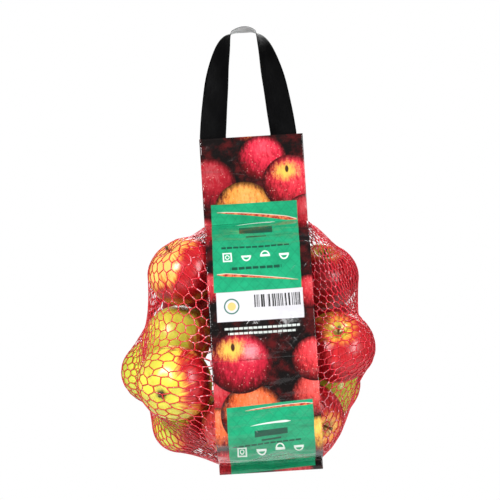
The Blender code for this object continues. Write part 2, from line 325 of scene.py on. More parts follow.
def apple_skin(number, turned):
    """Ground colour, streaked blush, dots, russet round the stem, a brown eye and a faint bloom."""
    ground, blush, faces, reach = SKINS[number - 1]
    way = turned.to_3x3().inverted() @ Vector(faces).normalized()
    s = Shader(f"apple_skin_{number:02d}")
    at = s.stored("skin_at")
    x, y, z = s.split(at)
    level = s.fill("CombineXYZ", X=x, Y=y)[0]
    out = s.vector("LENGTH", level)
    shifted = s.vector("ADD", at, (number * 3.7, number * 1.9, number * 5.3))
    # Noise that hardly changes from stem to eye makes streaks
    slow = s.fill("CombineXYZ", Z=s.mul(z, 0.1))[0]
    meridian = s.vector("ADD", s.vector("NORMALIZE", level), slow)
    meridian = s.vector("ADD", meridian, (number * 1.3, number * 2.1, 0))
    fine = s.noise(meridian, 26.0, 3.0, 0.7)
    broad = s.noise(meridian, 7.0, 2.0, 0.6)
    patch = s.noise(shifted, 1.7, 3.0, 0.5)
    facing = s.vector("DOT_PRODUCT", s.vector("NORMALIZE", at), way)
    amount = s.add(facing, s.mul(s.sub(patch, 0.5), 1.3))
    amount = s.add(amount, s.mul(s.sub(broad, 0.5), 0.9))
    amount = s.add(amount, s.mul(s.sub(fine, 0.5), 0.8))
    mask = s.step(amount, reach - 0.2, reach + 0.42)
    hollow = s.step(s.add(out, s.mul(s.sub(broad, 0.5), 0.5)), 0.62, 0.16)
    stem_side = s.mul(hollow, s.step(z, 0.2, 0.5))
    mask = s.mul(mask, s.sub(1.0, s.mul(stem_side, 0.9)))
    pale = s.mix(s.step(patch, 0.35, 0.7), ground, lighter(ground, 1.35, 0.02))
    pale = s.mix(s.mul(s.step(fine, 0.5, 0.75), 0.25), pale, (0.6, 0.18, 0.05))
    full = s.mix(s.step(fine, 0.3, 0.72), lighter(blush, 0.5), blush)
    full = s.mix(s.mul(s.step(broad, 0.55, 0.8), 0.25), full, (0.85, 0.06, 0.05))
    skin = s.mix(s.step(mask, 0.0, 0.45), pale, (0.8, 0.26, 0.045))
    skin = s.mix(s.step(mask, 0.35, 1.0), skin, full)
    dots = s.step(s.cells(s.vector("ADD", at, (number, 0, 0)), 9.0), 0.085, 0.05)
    skin = s.mix(s.mul(dots, 0.55), skin, (0.8, 0.55, 0.28))
    russet = s.mul(s.step(out, 0.26, 0.07), s.step(z, 0.2, 0.5))
    skin = s.mix(s.mul(russet, 0.75), skin, (0.24, 0.13, 0.03))
    eye = s.mul(s.step(out, 0.2, 0.08), s.step(z, -0.3, -0.5))
    skin = s.mix(s.mul(eye, 0.7), skin, (0.2, 0.15, 0.04))
    bloom = s.noise(shifted, 5.0, 4.0, 0.6)
    skin = s.mix(s.mul(s.step(bloom, 0.5, 0.85), 0.06), skin, (0.75, 0.45, 0.46))
    uneven = s.add(s.mul(s.noise(shifted, 60.0, 2.0), 0.4), s.mul(fine, 0.6))
    return s.finish(
        Base_Color=skin,
        Roughness=s.step(bloom, 0.3, 0.8, 0.24, 0.36),
        Specular_IOR_Level=0.42,
        Coat_Weight=0.12,
        Coat_Roughness=0.15,
        Normal=s.bump(uneven, 0.00012, 0.5),
    )


def bark(name, colour):
    s = Shader(name)
    at = s.fill("TexCoord")["Object"]
    grain = s.noise(at, 900.0, 4.0, 0.65)
    skin = s.mix(grain, lighter(colour, 0.35), lighter(colour, 1.6))
    return s.finish(Base_Color=skin, Roughness=0.75, Normal=s.bump(grain, 0.0003, 0.8))


def tube(path, radii, sides):
    """(points, faces) of a closed round tube along a path of points."""
    along = unit(np.gradient(path, axis=0))
    no_path = np.array([0.31, 0.93, 0.17])  # a direction that no tube runs along
    side = unit(np.cross(along, no_path))
    up = np.cross(along, side)
    turn = even_turn(sides)
    ring = np.cos(turn)[:, None] * side[:, None] + np.sin(turn)[:, None] * up[:, None]
    points = (path[:, None] + ring * np.asarray(radii)[:, None, None]).reshape(-1, 3)
    faces = [tuple(reversed(f)) for f in grid_faces(len(path), sides, around=True).tolist()]
    faces.append(tuple(range(sides)))
    faces.append(tuple(reversed(range((len(path) - 1) * sides, len(path) * sides))))
    return points, faces


def place_points(points, turned):
    return np.asarray(points) @ np.array(turned.to_3x3()).T + np.array(turned.translation)


def build_apples():
    """Skins, stems and dried flower ends. Returns each skin's (points, faces) in the bag's frame."""
    stem_bark = bark("stem_bark", (0.17, 0.1, 0.04))
    sepal_bark = bark("sepal_bark", (0.1, 0.07, 0.03))
    near_stem, near_eye = 0.5, math.pi - 0.45  # the rings are closer together beyond these
    turns = np.concatenate(
        [
            np.linspace(0, near_stem, 9)[:-1],
            np.linspace(near_stem, near_eye, 24),
            np.linspace(near_eye, math.pi, 8)[1:],
        ]
    )
    skins = []
    for number in range(1, APPLE_COUNT + 1):
        middle, way, half = apple_place(number)
        turned = Vector(way).to_track_quat("Z", "Y").to_matrix().to_4x4()
        turned.translation = Vector(middle)
        rings = apple_surface(turns[1:-1, None], even_turn(APPLE_SIDES)[None], half, number)
        ends = [apple_surface(turns[i], 0.0, half, number)[None] for i in (0, -1)]
        points = np.concatenate([ends[0], rings.reshape(-1, 3), ends[1]])
        faces = (grid_faces(len(turns) - 2, APPLE_SIDES, around=True) + 1).tolist()
        last = len(points) - 1
        for i in range(APPLE_SIDES):
            after = (i + 1) % APPLE_SIDES
            faces.append((0, 1 + i, 1 + after))
            faces.append((last, last - APPLE_SIDES + after, last - APPLE_SIDES + i))
        placed = place_points(points, turned)
        skin = apple_skin(number, turned)
        apple = new_mesh(f"apple_flesh_{number:02d}", placed, faces, [skin])
        put_vectors(apple, "skin_at", points / half)
        skins.append((placed, faces))
        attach(apple, "bag")
        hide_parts(f"apple_{number:02d}")
        add_stalk(number, half, turned, stem_bark)
        add_sepals(number, half, turned, sepal_bark)
    return skins


def add_stalk(number, half, turned, skin):
    draw = np.random.default_rng(100 + number)
    floor = half * (APPLE_TALL - STEM_HOLLOW[0])
    length = half * STALK_TIP - floor
    sunk = 0.6 * MM
    bend = draw.uniform(-1, 1, 2) * 0.9 * MM
    share = np.linspace(0, 1, 9)
    path = np.stack([bend[0] * share**2, bend[1] * share**2, floor - sunk + length * share], axis=1)
    radii = (0.95 + 0.35 * (1 - share) ** 4 + 0.75 * share**5) * MM  # wider at its foot and its tip
    points, faces = tube(path, radii, 10)
    stalk = new_mesh(f"stalk_{number:02d}", place_points(points, turned), faces, [skin])
    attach(stalk, "bag")
    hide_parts(f"stem_{number:02d}")


def add_sepals(number, half, turned, skin):
    """Five small dried leaves that close over the blossom end's hollow."""
    floor = -half * (APPLE_TALL - EYE_HOLLOW[0])
    points, faces = [], []
    for start in even_turn(5):
        turn = start + 0.2 * number
        ahead = np.array([math.cos(turn), math.sin(turn), 0])
        aside = np.array([-math.sin(turn), math.cos(turn), 0])
        for i in range(LEAF_STEPS):
            share = i / (LEAF_STEPS - 1)
            wide = (1.5 * (1 - share) ** 0.7 + 0.12) * MM
            at = ahead * (0.7 + 3.0 * math.sin(share * 1.7)) * MM
            at = at + np.array([0, 0, floor - (0.5 + 2.6 * share - 1.2 * share**2) * MM])
            for j, k in ((-1, 0), (0, 0.35), (1, 0), (0, -0.15)):
                points.append(at + aside * wide * j - np.array([0, 0, k * MM]))
        base = len(points) - 4 * LEAF_STEPS
        for i in range(LEAF_STEPS - 1):
            for j in range(4):
                a, b = base + 4 * i + j, base + 4 * i + (j + 1) % 4
                faces.append((a, b, b + 4, a + 4))
        faces.append(tuple(base + j for j in (3, 2, 1, 0)))
        faces.append(tuple(len(points) - 4 + j for j in range(4)))
    sepals = new_mesh(f"sepals_{number:02d}", place_points(points, turned), faces, [skin])
    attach(sepals, "bag")


# --- net ---

STRAND_WIDE = 0.58 * MM  # half width
STRAND_DEEP = 0.36 * MM
STRAND_SIDES = 5
STRAND_RINGS = 5
CELLS_AROUND = 72
LINK_LENGTH = 5.4 * MM  # a slanting link between two wales
WALE_LENGTH = 4.2 * MM  # the upright side that two cells share
NET_HALF_WIDTH = 45.5 * MM  # in the seals
NET_ROWS, NET_COLUMNS = 76, 144  # of the skin that is drawn tight
NET_STEPS = 1600  # of relaxation
SMOOTH_ROWS = 300  # down the net, where the strands are laid


def skin_tree(skins):
    points, faces = [], []
    for p, f in skins:
        faces += [tuple(len(points) + i for i in face) for face in f]
        points += [tuple(q) for q in p]
    return BVHTree.FromPolygons(points, faces)


def net_surface(skins):
    """Points [down, around, xyz] of a tight skin over the apples, between the two seals."""
    points = np.concatenate([p for p, _ in skins])
    low, high = points.min(axis=0), points.max(axis=0)
    tree = skin_tree(skins)
    turn = even_turn(NET_COLUMNS)
    share = np.arange(NET_ROWS)[:, None] / (NET_ROWS - 1)
    swell = np.sin(np.pi * share) ** 0.6
    core = (low + high) / 2 * np.array([0.5, 0, 1])
    slit = (NET_HALF_WIDTH, 0.4 * MM)
    grid = np.zeros((NET_ROWS, NET_COLUMNS, 3))
    for axis, wave in enumerate((np.cos(turn), np.sin(turn))):
        grid[..., axis] = core[axis] * swell + (slit[axis] + (high - low)[axis] / 2 * swell) * wave
    grid[..., 2] = NECK + (SEAL - NECK) * (1 - np.cos(np.pi * share)) / 2
    out = unit(grid - core)
    least = outer_hits(tree, core, out) + 0.8 * STRAND_DEEP
    far = np.linalg.norm(grid - core, axis=2)
    far[1:-1] = np.maximum(far, least)[1:-1]
    for _ in range(NET_STEPS):
        grid = core + out * far[..., None]
        beside = (np.roll(grid, 1, axis=1) + np.roll(grid, -1, axis=1)) / 2
        pulled = 0.7 * (grid[:-2] + grid[2:]) / 2 + 0.3 * beside[1:-1]
        drawn = ((pulled - core) * out[1:-1]).sum(axis=2)
        far[1:-1] = np.maximum(drawn, least[1:-1])
    return core + out * far[..., None]


def outer_hits(tree, core, out):
    """How far from core the outermost face lies along each direction, or 0."""
    reach = 0.4
    hits = np.zeros(out.shape[:-1])
    for index in np.ndindex(hits.shape):
        way = Vector(out[index])
        start = Vector(core if core.ndim == 1 else core[index])
        found = tree.ray_cast(start + way * reach, -way, reach)
        if found[0] is not None:
            hits[index] = reach - found[3]
    return hits


def even_meridians(grid, count):
    """The surface sampled at even shares of each meridian's own length, [count, around, xyz]."""
    steps = np.linalg.norm(np.diff(grid, axis=0), axis=2)
    along = np.concatenate([np.zeros((1, grid.shape[1])), np.cumsum(steps, axis=0)])
    even = np.zeros((count, grid.shape[1], 3))
    share = np.linspace(0, 1, count)
    for c in range(grid.shape[1]):
        for axis in range(3):
            even[:, c, axis] = np.interp(share * along[-1, c], along[:, c], grid[:, c, axis])
    return even, along[-1].mean()


def net_at(even, around, down):
    """The net's surface at any (around, down), each from 0 to 1."""
    rows, columns = even.shape[:2]
    u = (around % 1) * columns
    v = np.clip(down, 0, 1) * (rows - 1)
    c, r = np.floor(u).astype(int), np.minimum(np.floor(v).astype(int), rows - 2)
    fu, fv = (u - c)[..., None], (v - r)[..., None]
    c, after = c % columns, (c + 1) % columns
    upper = even[r, c] * (1 - fu) + even[r, after] * fu
    lower = even[r + 1, c] * (1 - fu) + even[r + 1, after] * fu
    return upper * (1 - fv) + lower * fv


def net_outward(even, around, down):
    across = net_at(even, around + 0.004, down) - net_at(even, around - 0.004, down)
    along = net_at(even, around, down + 0.006) - net_at(even, around, down - 0.006)
    return unit(np.cross(along, across))


def cell_rows(even, length):
    """Shares of the way down at which the middles of the upright sides lie, row by row."""
    rims = np.linalg.norm(np.roll(even, -1, axis=1) - even, axis=2).sum(axis=1)
    downs, down = [0.0], 0.0
    while down < 1:
        across = np.interp(down, np.linspace(0, 1, len(rims)), rims) / (2 * CELLS_AROUND)
        rise = math.sqrt(max(LINK_LENGTH**2 - across**2, (0.45 * LINK_LENGTH) ** 2))
        down += (WALE_LENGTH + rise) / length
        downs.append(down)
    return np.array(downs) / downs[-1]


def clear_of(tree, points, gap):
    """Moves points out of the apples until they are gap away from the skin."""
    flat = points.reshape(-1, 3)
    for i, p in enumerate(flat):
        place, normal, _, _ = tree.find_nearest(Vector(p), 20 * MM)
        if place is not None:
            above = (Vector(p) - place).dot(normal)
            if above < gap:
                flat[i] = p + np.array(normal) * (gap - above)
    return flat.reshape(points.shape)


def between(start, end, shares):
    """Places [strand, ring, 2] at shares of the way from start to end."""
    a, b = start.reshape(-1, 1, 2), end.reshape(-1, 1, 2)
    return a + (b - a) * shares


def strands(even, tree, places, wide):
    """Flattened tubes along rows of (around, down) places: points [strand, ring, side, xyz]."""
    around, down = places[..., 0], places[..., 1]
    path = clear_of(tree, net_at(even, around, down), STRAND_DEEP * 1.05)
    up = net_outward(even, around, down)
    along = unit(np.gradient(path, axis=1))
    side = unit(np.cross(along, up))
    turn = even_turn(STRAND_SIDES)
    wide = np.asarray(wide)[None, :, None, None] * STRAND_WIDE
    ring = wide * np.cos(turn)[:, None] * side[:, :, None]
    return path[:, :, None] + ring + STRAND_DEEP * np.sin(turn)[:, None] * up[:, :, None]


def net_plastic():
    """Glossy red strand with fine fibres, and pale pink flecks that are painted glints, more of them
    beside the label.
    """
    s = Shader("net_plastic")
    at = s.fill("TexCoord")["Object"]
    tone = s.noise(at, 55.0, 3.0)
    fibre = s.noise(s.vector("MULTIPLY", at, (2500.0, 2500.0, 900.0)), 1.0, 2.0)
    skin = s.mix(s.step(tone, 0.3, 0.7), (0.58, 0.004, 0.014), (0.74, 0.008, 0.032))
    skin = s.mix(s.mul(s.step(fibre, 0.6, 0.78), 0.35), skin, (0.95, 0.12, 0.16))
    aside = s.size(s.split(at)[0])
    # Painted highlights: pale pink flecks stand for glints on the strands, with more of them where the
    # label lies.
    painted_glints = s.add(s.noise(at, 420.0, 2.0, 0.6), s.step(aside, 0.078, 0.05, 0.0, 0.1))
    skin = s.mix(s.mul(s.step(painted_glints, 0.63, 0.69), 0.75), skin, (0.95, 0.46, 0.52))
    return s.finish(
        Base_Color=skin,
        Roughness=s.step(fibre, 0.3, 0.7, 0.18, 0.36),
        Specular_IOR_Level=0.5,
        Coat_Weight=0.15,
        Coat_Roughness=0.08,
        Normal=s.bump(fibre, 0.0004, 0.9),
    )


def build_net(grid, skins):
    """Bricks of single strands: upright sides (wales), and two slanting links below each of them."""
    even, length = even_meridians(grid, SMOOTH_ROWS)
    tree = skin_tree(skins)
    downs = cell_rows(even, length)
    rows = len(downs)
    r, c = np.meshgrid(np.arange(rows), np.arange(CELLS_AROUND), indexing="ij")
    around = (c + 0.5 * (r % 2)) / CELLS_AROUND
    down = downs[r]
    inner = np.minimum(smooth(0, 0.12, down), smooth(1, 0.88, down))
    places = np.stack([np.cos(2 * np.pi * around), np.sin(2 * np.pi * around), down * 3], axis=-1)
    around = around + inner * waves(places, 3.0, 11) * 0.0055
    down = down + inner * waves(places, 4.0, 12) * 0.006
    draw = np.random.default_rng(5)
    reach = WALE_LENGTH / length / 2
    ends = []
    for sign in (-1, 1):
        sway = draw.normal(size=(*around.shape, 2)) * np.array([0.0008, 0.0016]) * inner[..., None]
        ends.append(np.stack([around, down + sign * reach], axis=-1) + sway)
    high, low = ends
    odd = (np.arange(rows - 1) % 2 == 1)[:, None, None]
    full_turn = np.array([1.0, 0.0])
    after = np.roll(high[1:], -1, axis=1)
    after[:, -1] += full_turn
    before = np.roll(high[1:], 1, axis=1)
    before[:, 0] -= full_turn
    right = np.where(odd, after, high[1:])
    left = np.where(odd, high[1:], before)
    share = np.linspace(0, 1, STRAND_RINGS)
    bowed = np.stack([0.45 * share + 0.55 * smooth(0, 1, share), share], axis=-1)
    links = np.concatenate([between(low[:-1], far, bowed) for far in (right, left)])
    wales = between(high[1:-1], low[1:-1], share[:, None])
    groups = [
        strands(even, tree, links, (0.85, 0.9, 0.9, 0.9, 0.85)),
        strands(even, tree, wales, (1.35, 1.15, 0.95, 1.15, 1.35)),
    ]
    skin = net_plastic()
    tube_faces = grid_faces(STRAND_RINGS, STRAND_SIDES, around=True)
    tube_points = STRAND_RINGS * STRAND_SIDES
    for name, side in (("net_left", -1), ("net_right", 1)):
        kept = np.concatenate([g[g[:, 2, :, 0].mean(axis=1) * side >= 0] for g in groups])
        first = np.arange(len(kept))[:, None, None] * tube_points
        quads = (tube_faces[None] + first).reshape(-1, 4).tolist()
        half = new_mesh(name, kept.reshape(-1, 3), quads, [skin])
        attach(half, "bag")
        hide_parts("net_sleeve")
    for name, body, top, bottom in (
        ("net_top_gather", "header", NECK + 18 * MM, NECK),
        ("net_bottom_gather", "bottom_fin", SEAL - 3 * MM, FIN_BOTTOM + 2 * MM),
    ):
        gather = add_gather(name, top, bottom, skin)
        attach(gather, body)
        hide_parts("net_top_hem" if body == "header" else "net_bottom_hem")


def add_gather(name, top, bottom, skin):
    """The net's drawn-up end between the films: two layers of strands side by side."""
    points, faces = [], []
    rings = 9
    share = np.linspace(0, 1, rings)
    for layer in (-1, 1):
        for k in range(CELLS_AROUND):
            x = -NET_HALF_WIDTH + 2 * NET_HALF_WIDTH * (k + 0.5) / CELLS_AROUND
            sway = 0.5 * MM * np.sin(share * 9 + k * 1.9 + layer)
            aside = np.full(rings, layer * 0.42 * MM)
            path = np.stack([x + sway, aside, top + (bottom - top) * share], axis=1)
            p, f = tube(path, np.full(rings, 0.4 * MM), 6)
            faces += [tuple(len(points) + i for i in face) for face in f]
            points += list(p)
    return new_mesh(name, np.array(points), faces, [skin])


# --- film ---

FILM_COLUMNS = 64
HEADER_ROWS, BELLY_ROWS, FIN_ROWS = 53, 168, 7
SPLIT_ROW = HEADER_ROWS + 92  # where the upper and the lower sheet meet
FILM_STEPS = 2600  # of relaxation
FILM_GAP = 1.25 * MM  # inner face to the middle plane, where the two films are welded
FILM_THICK = 0.22 * MM
FILM_CLEAR = 1.1 * MM  # above the middle of the net's strands


def film_grid(net_tree, side):
    """Points [down, across, xyz] of one film's inner face, drawn tight over the net."""
    across = np.linspace(-HALF_FILM, HALF_FILM, FILM_COLUMNS) * -side
    core_z = (NECK + SEAL) / 2
    first = math.atan2(FILM_GAP, NECK - core_z)
    swing = np.linspace(first, math.pi - first, BELLY_ROWS)[:, None] * np.ones(FILM_COLUMNS)
    out = np.stack([np.zeros_like(swing), side * np.sin(swing), np.cos(swing)], axis=-1)
    core = np.zeros_like(out)
    core[..., 0] = across
    core[..., 2] = core_z
    least = outer_hits(net_tree, core, out)
    least = np.where(least > 0, least + FILM_CLEAR, 0)
    far = np.zeros(swing.shape)
    far[0], far[-1] = np.hypot(FILM_GAP, NECK - core_z), np.hypot(FILM_GAP, SEAL - core_z)
    ruled = np.maximum(least.max(axis=1, keepdims=True), 0.03) * np.ones(FILM_COLUMNS)
    far[1:-1] = ruled[1:-1]
    least = 0.55 * least + 0.45 * ruled * (least > 0)
    for _ in range(FILM_STEPS):
        grid = core + out * far[..., None]
        beside = np.concatenate([grid[:, 1:2], (grid[:, 2:] + grid[:, :-2]) / 2, grid[:, -2:-1]], axis=1)
        pulled = 0.94 * (grid[:-2] + grid[2:]) / 2 + 0.06 * beside[1:-1]
        drawn = ((pulled - core[1:-1]) * out[1:-1]).sum(axis=2)
        far[1:-1] = np.maximum(drawn, least[1:-1])
    belly = core + out * far[..., None]
    top_z = np.linspace(HEADER_TOP, NECK, HEADER_ROWS + 1)[:-1, None] * np.ones(FILM_COLUMNS)
    end_z = np.linspace(SEAL, FIN_BOTTOM, FIN_ROWS + 1)[1:, None] * np.ones(FILM_COLUMNS)
    flat = [
        np.stack([across * np.ones_like(z), np.full_like(z, side * FILM_GAP), z], axis=-1)
        for z in (top_z, end_z)
    ]
    return np.concatenate([flat[0], belly, flat[1]])


def wrinkle(grid, side, seed):
    """Pushes the film outwards along short, mostly level creases. Its two welds stay flat."""
    across = unit(np.gradient(grid, axis=1))
    along = unit(np.gradient(grid, axis=0))
    outward = unit(np.cross(along, across))
    outward *= np.sign((outward[..., 1] * side).sum())
    steps = np.linalg.norm(np.diff(grid, axis=0), axis=2).mean(axis=1)
    down = np.concatenate([[0], np.cumsum(steps)])
    place = np.stack([grid[..., 0], down[:, None] * np.ones(grid.shape[1])], axis=-1)
    slow = waves(place, np.array([20.0, 120.0]), seed)
    fast = waves(place, np.array([85.0, 300.0]), seed + 1)
    z = grid[..., 2]
    welds = smooth(0, 6 * MM, HEADER_TOP - 1.5 * MM - z) * smooth(0, 9 * MM, np.abs(z - NECK))
    welds = welds * smooth(0, 7 * MM, np.abs(z - SEAL)) * smooth(0, 3 * MM, z - FIN_BOTTOM)
    header = smooth(NECK - 4 * MM, NECK + 4 * MM, z)
    size = 1.0 * MM * (1 - header) + 0.5 * MM * header
    lift = (size * (0.9 + slow) + 0.42 * MM * (0.8 + fast)) * welds
    tabs = smooth(HEADER_TOP - 34 * MM, HEADER_TOP - 26 * MM, z) * welds * header
    lift = lift + 0.25 * MM * tabs
    return grid + outward * lift[..., None]


def print_places(grid):
    """(across, down the print, 0) in millimetres. The print isn't smeared where the film runs level."""
    places = np.zeros_like(grid)
    places[..., 0] = grid[..., 0] / MM
    margin, step, blur = 60 * MM, 0.5 * MM, 10 * MM
    spread = np.arange(-60, 61) * step
    weight = np.exp(-((spread / blur) ** 2) / 2)
    for c in range(grid.shape[1]):
        column = grid[:, c]
        lengths = np.linalg.norm(np.diff(column, axis=0), axis=1)
        along = np.concatenate([[0], np.cumsum(lengths)])
        even = np.arange(-margin, along[-1] + margin, step)
        fall = np.interp(even, along, -column[:, 2])
        fall += np.minimum(even, 0) + np.maximum(even - along[-1], 0)
        soft = np.convolve(fall, weight / weight.sum(), mode="same")
        places[:, c, 1] = np.interp(along, even, soft) / MM
    return places


def printed_apple(s, under, dots, x, down, radius, tone, hollow):
    """Lays a printed apple over the colour so far. hollow is where its stem shows, in radii."""
    local = s.vector("MULTIPLY", s.vector("SUBTRACT", s.at, (x, down, 0)), (1 / radius,) * 3)
    streak = s.noise(s.vector("MULTIPLY", local, (4.0, 1.6, 1.0)), 1.6, 4.0, 0.8)
    ragged = s.sub(streak, 0.5)
    far = s.vector("LENGTH", s.vector("MULTIPLY", local, (1.0, 1.06, 1.0)))
    lit = s.add(s.vector("DISTANCE", local, (0.12, -0.38, 0)), s.mul(ragged, 2.0))
    skin = s.mix(s.step(lit, -0.1, 0.6), lighter(tone, 1.2, 0.05), tone)
    skin = s.mix(s.step(streak, 0.52, 0.66, 0.0, 0.6), skin, (0.5, 0.01, 0.022))
    skin = s.mix(s.step(lit, 0.45, 1.25), skin, (tone[0] * 0.2, 0.002, 0.004))
    skin = s.mix(s.mul(dots, 0.4), skin, (0.9, 0.42, 0.36))
    if hollow:
        near = s.vector("DISTANCE", s.vector("MULTIPLY", local, (0.8, 1.2, 1)), (*hollow, 0))
        skin = s.mix(s.step(s.add(near, ragged), 0.5, 0.05), skin, (0.8, 0.5, 0.08))
        stalk = s.vector("MULTIPLY", s.vector("SUBTRACT", local, (*hollow, 0)), (2.0, 1.0, 1.0))
        skin = s.mix(s.step(s.vector("LENGTH", stalk), 0.16, 0.09), skin, (0.06, 0.02, 0.01))
    rim = s.step(s.add(far, s.mul(ragged, 0.25)), 0.72, 1.02, 0.0, 0.92)
    skin = s.mix(rim, skin, (0.012, 0.001, 0.001))
    return s.mix(s.step(far, 1.02, 0.98), under, skin)


def box_mask(s, left, right, top, bottom, soft=0.35, lean=0.0, skew=0.0):
    """1 inside a printed box. lean slants its ends, skew tilts it across."""
    across, down = s.across, s.down
    if lean:
        across = s.add(across, s.mul(s.sub(down, (top + bottom) / 2), lean))
    if skew:
        down = s.sub(down, s.mul(across, skew))
    inside = s.least(s.sub(across, left), s.sub(right, across))
    inside = s.least(inside, s.least(s.sub(down, top), s.sub(bottom, down)))
    return s.step(inside, -soft, soft)


def swoosh(s, start, end, thick_start, thick_end):
    """1 on a printed sliver that bows upwards from start to end, each (across, down)."""
    (x0, d0), (x1, d1) = start, end
    bow, soft = 0.9, 0.25
    share = s.math("DIVIDE", s.sub(s.across, x0), x1 - x0)
    arc = s.mul(s.mul(share, s.sub(1.0, share)), 4.0 * bow)
    line = s.sub(s.add(d0, s.mul(share, d1 - d0)), arc)
    off = s.size(s.sub(s.down, line))
    half = s.add(thick_start, s.mul(share, thick_end - thick_start))
    half = s.mul(half, s.step(s.size(s.sub(share, 0.5)), 0.5, 0.36, 0.25, 1.0))
    inside = s.step(s.sub(half, off), -soft, soft)
    return s.mul(inside, s.mul(s.step(share, -0.01, 0.01), s.step(share, 1.01, 0.99)))


PRINTED = [  # across, down, radius, colour, stem hollow
    (-4, 82, 19, (0.86, 0.36, 0.08), None),
    (9, 116, 22, (0.64, 0.02, 0.05), None),
    (-41, 137, 25, (0.34, 0.008, 0.018), None),
    (-10, 162, 27, (0.8, 0.3, 0.05), None),
    (34, 139, 26, (0.68, 0.028, 0.05), (-0.12, -0.46)),
    (46, 168, 18, (0.42, 0.02, 0.03), None),
    (-48, 182, 17, (0.36, 0.012, 0.02), None),
    (44, 240, 16, (0.5, 0.02, 0.03), None),
    (-47, 232, 15, (0.44, 0.02, 0.03), None),
    (43, 331, 21, (0.62, 0.06, 0.05), None),
    (45, 299, 21, (0.7, 0.04, 0.05), None),
    (-46, 330, 17, (0.46, 0.02, 0.03), None),
    (-47, 356, 20, (0.8, 0.14, 0.04), None),
    (-14, 345, 28, (0.76, 0.13, 0.03), None),
    (-22, 299, 29, (0.56, 0.014, 0.04), (-0.2, -0.48)),
    (46, 366, 17, (0.9, 0.46, 0.06), None),
    (-42, 392, 18, (0.52, 0.02, 0.03), None),
    (20, 406, 20, (0.54, 0.02, 0.03), None),
]
SLIVERS = [  # start and end (across, down), half thickness at each
    ((-35, 163.0), (37, 171.5), 0.35, 1.35),
    ((-38, 220.5), (34, 229.0), 1.35, 0.2),
    ((-20, 342.0), (40.5, 339.0), 0.2, 1.2),
]
PANEL_LEAN = -0.045  # of the lower green panel, down per across
PANEL_GREEN = (0.012, 0.355, 0.165)
PANEL_SHADE = (0.008, 0.27, 0.125)
STRAND_SHADE = (0.004, 0.17, 0.085)
LABEL_WHITE = (0.63, 0.62, 0.65)
PEEL_RED, PEEL_GOLD, PEEL_EDGE = (0.34, 0.01, 0.016), (0.8, 0.22, 0.08), (0.78, 0.66, 0.56)


def film_print(name, front):
    """Printed apples on black, two green panels and a white one. The back film has no marks."""
    s = Shader(name)
    at = s.at = s.stored("print_at")
    s.across, s.down, _ = s.split(at)
    grain = s.noise(at, 0.055, 5.0, 0.65)
    ink = s.mix(s.step(grain, 0.45, 0.7), (0.003, 0.001, 0.001), (0.085, 0.004, 0.005))
    dots = s.step(s.cells(at, 0.34), 0.22, 0.1)
    for x, d, radius, tone, hollow in PRINTED:
        ink = printed_apple(s, ink, dots, x if front else -x, d, radius, tone, hollow)
    shine = s.add(s.vector("DISTANCE", at, (-12, 290, 0)), s.mul(s.noise(at, 0.35, 3.0, 0.8), 16.0))
    ink = s.mix(s.step(shine, 19.0, 9.0, 0.0, 0.55), ink, (0.92, 0.42, 0.46))
    quilt = diamond(s)
    green = s.mix(s.step(grain, 0.35, 0.7), PANEL_GREEN, PANEL_SHADE)
    # Painted shade: the green is darker along the lines where the net's strands press into the film.
    green = s.mix(s.mul(quilt, 0.35), green, STRAND_SHADE)
    first = box_mask(s, -41, 37.5, 156, 236, lean=0.02)
    second = box_mask(s, -36.5, 40.5, 336.5, 402, skew=PANEL_LEAN)
    ink = s.mix(s.most(first, second), ink, green)
    peel = s.mix(s.step(s.noise(at, 0.25, 3.0, 0.7), 0.35, 0.65), PEEL_RED, PEEL_GOLD)
    for start, end, left_half, right_half in SLIVERS:
        for lift, tone in ((0.5, PEEL_EDGE), (0.0, peel)):
            higher = (start[0], start[1] - lift), (end[0], end[1] - lift)
            ink = s.mix(swoosh(s, *higher, left_half, right_half), ink, tone)
    white = box_mask(s, -40, 37.5, 236, 262.5, lean=0.01)
    ink = s.mix(white, ink, LABEL_WHITE)
    if front:
        ink = add_dashes(s, add_marks(s, ink))
    crease = s.noise(s.vector("MULTIPLY", at, (0.015, 0.085, 1.0)), 1.0, 2.0, 0.5)
    crinkle = s.noise(s.vector("MULTIPLY", at, (0.08, 0.16, 1.0)), 1.0, 3.0, 0.55)
    height = s.add(crease, s.mul(crinkle, 0.22))
    height = s.add(height, s.mul(quilt, s.step(s.down, 176.0, 186.0, 0.0, 0.02)))
    return s.finish(
        Base_Color=ink,
        Roughness=s.step(crinkle, 0.3, 0.7, 0.13, 0.22),
        Specular_IOR_Level=0.4,
        Coat_Weight=0.12,
        Coat_Roughness=0.05,
        Normal=s.bump(height, 0.005, 0.75),
    )


def diamond(s):
    """Lines where the net's strands press into the film from behind."""
    pitch, slope = 9.4, 0.92
    lines = []
    for way in (slope, -slope):
        phase = s.math("FRACT", s.mul(s.add(s.across, s.mul(s.down, way)), 1 / pitch))
        lines.append(s.step(s.size(s.sub(phase, 0.5)), 0.09, 0.0))
    return s.most(*lines)


def drawing(s, x, d, kind):
    """1 on the lines of a small box, bowl or dome with its middle at (x, d)."""
    local = s.vector("MULTIPLY", s.vector("SUBTRACT", s.at, (x, d, 0)), (0.88,) * 3)
    lx, ld, _ = s.split(local)
    far = s.vector("LENGTH", local)
    if kind == "box":
        edge = s.most(s.size(lx), s.size(ld))
        line = s.mul(s.step(edge, 2.4, 2.7), s.step(edge, 3.8, 3.5))
        return s.most(line, s.mul(s.step(far, 1.0, 1.2), s.step(far, 1.9, 1.7)))
    ring = s.mul(s.step(far, 2.5, 2.8), s.step(far, 3.8, 3.5))
    half = s.step(s.mul(ld, 1.0 if kind == "bowl" else -1.0), -0.6, -0.3)
    bar = s.step(s.most(s.mul(s.size(lx), 0.21), s.size(ld)), 0.9, 0.7)
    return s.most(s.mul(ring, half), bar)


